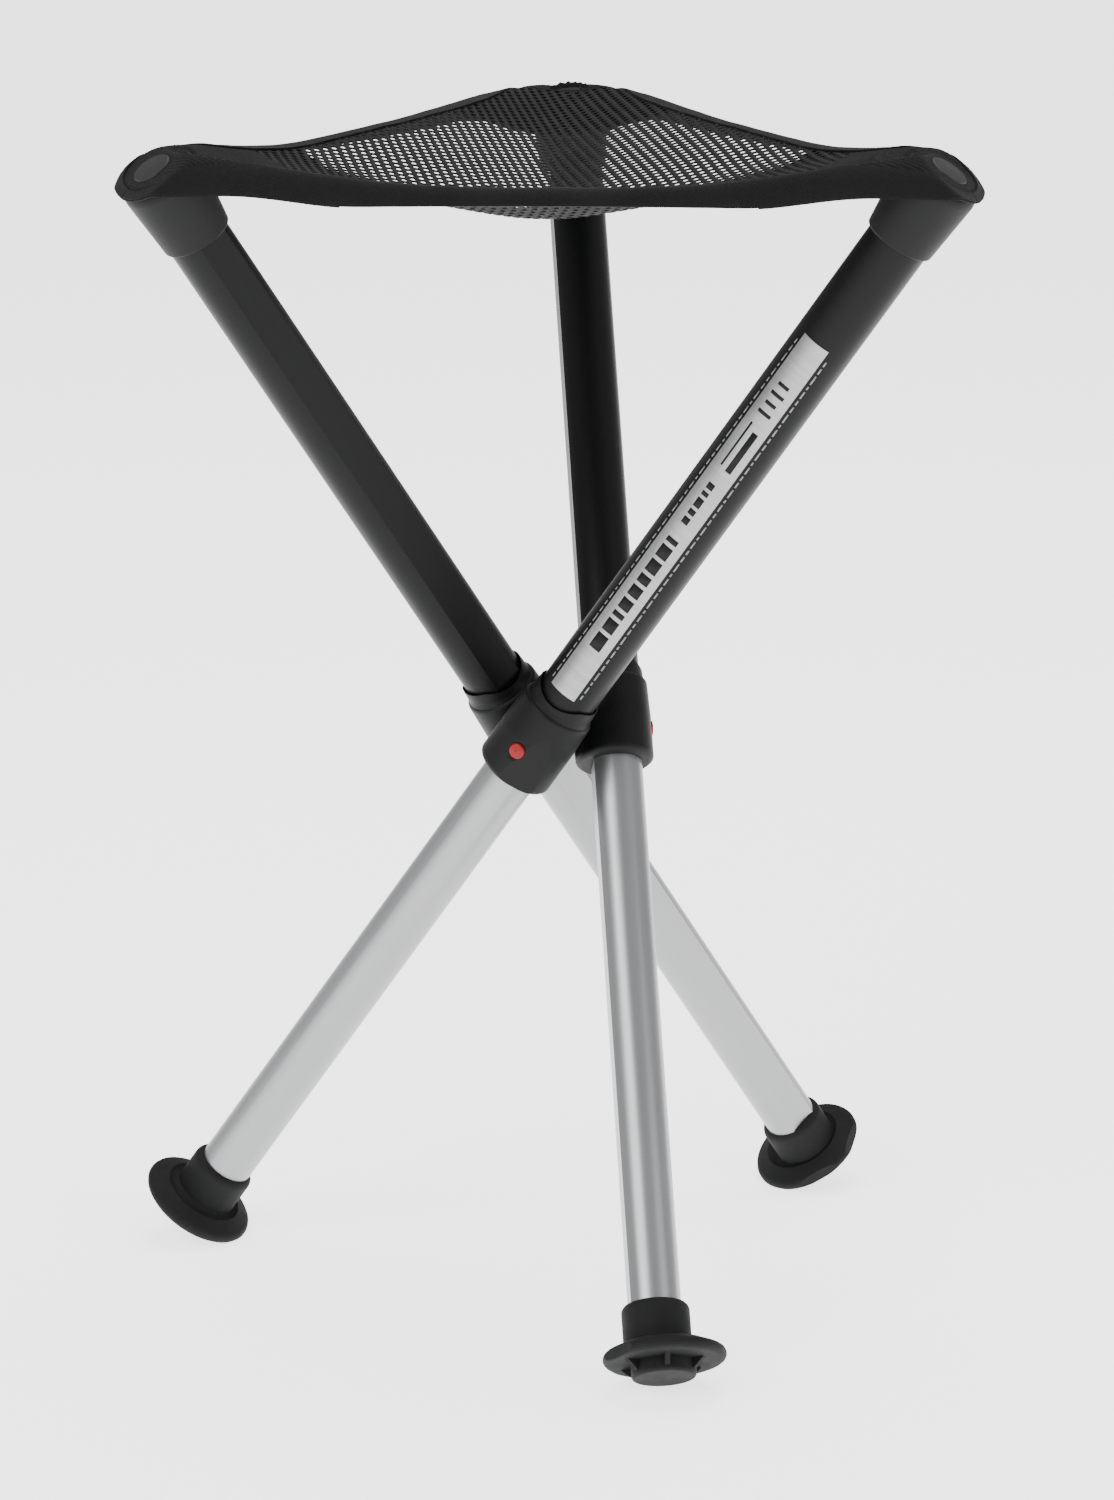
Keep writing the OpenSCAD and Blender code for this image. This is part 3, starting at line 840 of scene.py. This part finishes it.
PLATE_R = 12.75*MM                 # outer face of the plate
TUBE_R = 12.5*MM
PLATE_S = (31*MM, 214*MM)
INK_T = 0.03*MM
MARK_STEPS = 3                     # flat steps round the tube that a mark is made of
BIG_BLOCKS = (7.5, 6, 2.4, 5.2, 5.2, 4.2, 6, 6, 2.4)       # lengths up the leg, in mm
SMALL_BLOCKS = (3.2, 2.6, 4.4, 2.0, 3.0)
FINE_BLOCKS = (2.2, 3.4, 1.5, 4.1, 2.7)
BIG_GAP, SMALL_GAP, FINE_GAP = 1.7, 1.4, 1.1               # between them, in mm
BIG_TURN, SMALL_TURN = (-11, 13), (-8, 6)                  # degrees round the plate
FINE_TURN, FINE_HALF = 36.5, 1.5   # the fine rows' middle and half width, in degrees
UPRIGHT = 20*MM                    # length of the two bars along the leg


def tube_mark(leg, radius, s0, s1, a0, a1, points, faces):
    """Adds a thin printed rectangle on a tube, from s0 to s1 along it and a0 to a1 degrees round it."""
    first = len(points)
    for s in (s0, s1):
        for k in range(MARK_STEPS + 1):
            a = math.radians(a0 + (a1 - a0)*k/MARK_STEPS)
            points.append(tuple(leg.point(radius*math.cos(a), radius*math.sin(a), s)))
    above = first + MARK_STEPS + 1
    for k in range(MARK_STEPS):
        faces.append((first + k, above + k, above + 1 + k, first + k + 1))


def block_row(leg, s, lengths, gap, turn, points, faces):
    """Adds a row of blocks up the plate from s, and gives the place after its last gap."""
    for length in lengths:
        tube_mark(leg, PLATE_R + INK_T, s, s + length*MM, *turn, points, faces)
        s += (length + gap)*MM
    return s


def label_piece(name, points, faces, material):
    piece = new_piece(name, points, faces, material)
    thicken(piece, INK_T)
    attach(piece, "leg_1")


def make_label_bars(finishes):
    """Plain blocks and lines on the plate, in place of its lettering."""
    leg = LEG[1]
    points, faces = [], []
    s = block_row(leg, PLATE_S[0] + 24*MM, BIG_BLOCKS, BIG_GAP, BIG_TURN, points, faces)
    s = block_row(leg, s + 6*MM, SMALL_BLOCKS, SMALL_GAP, SMALL_TURN, points, faces)
    # two bars along the leg, then four short lines across it
    low = s + 6*MM
    high = low + UPRIGHT
    radius = PLATE_R + INK_T
    tube_mark(leg, radius, low, high, 3, 15, points, faces)
    tube_mark(leg, radius, low + 1*MM, high + 3*MM, -11, -7, points, faces)
    for k in range(4):
        tube_mark(leg, radius, high + (8 + 4.6*k)*MM, high + (9.6 + 4.6*k)*MM,
                  -14 + 2*(k % 2), 14 - 3*(k % 2), points, faces)
    label_piece("label_bars", points, faces, finishes["label_ink"])


def make_label_fine_rows(finishes):
    """A row of small pale blocks on the tube on each side of the plate, in place of its fine print."""
    points, faces = [], []
    for a in (-FINE_TURN, FINE_TURN):
        s = PLATE_S[0] + 2*MM
        k = 0
        while s < PLATE_S[1] - 6*MM:
            length = FINE_BLOCKS[k % len(FINE_BLOCKS)]*MM
            tube_mark(LEG[1], TUBE_R + 0.02*MM, s, s + length, a - FINE_HALF, a + FINE_HALF,
                      points, faces)
            s += length + FINE_GAP*MM
            k += 1
    label_piece("label_fine_rows", points, faces, finishes["pale_ink"])


# ---------------------------------------------------------------- snap pins

PIN_BASE, PIN_TIP, PIN_R = 9.0*MM, 13.4*MM, 3.8*MM
PIN_ROUND, PIN_CHAMFER = 0.6*MM, 0.2*MM


def lathe(name, leg, profile, material, steps=40):
    """A round part about a leg's outward axis, from (distance along it, radius) points."""
    points, faces = [], []
    for along, radius in profile:
        for k in range(steps):
            a = 2*math.pi*k/steps
            points.append(leg.point(along, radius*math.cos(a), radius*math.sin(a)))
    for r in range(len(profile) - 1):
        for k in range(steps):
            n = (k + 1) % steps
            faces.append((r*steps + k, r*steps + n, (r + 1)*steps + n, (r + 1)*steps + k))
    faces.append(tuple(range(steps)))
    faces.append(tuple(reversed(range((len(profile) - 1)*steps, len(profile)*steps))))
    return new_piece(name, points, faces, material, smooth=False)


def make_snap_pins(finishes):
    """The pin's head sinks into the lower tube as the leg is pushed together."""
    round_over = [(PIN_TIP - PIN_ROUND + PIN_ROUND*math.sin(a), PIN_R - PIN_ROUND + PIN_ROUND*math.cos(a))
                  for a in np.radians([0, 25, 50, 75, 90])]
    profile = [(PIN_BASE, PIN_R - PIN_CHAMFER), (PIN_BASE + PIN_CHAMFER, PIN_R), *round_over]
    for leg in LEG.values():
        i = leg.number
        pin = lathe(f"lock_pin_{i}", leg, profile, finishes["steel"])
        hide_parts(f"snap_pin_{i}")
        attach(pin, f"pin_{i}")
        tuple(leg.point(PIN_BASE, 0, 0))
        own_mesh(pin)


# ---------------------------------------------------------------- build

make_camera()
make_studio()
make_floor()
finishes = make_finishes()
finish_cad_nodes(finishes)
make_seat(finishes)
make_label_bars(finishes)
make_label_fine_rows(finishes)
make_snap_pins(finishes)
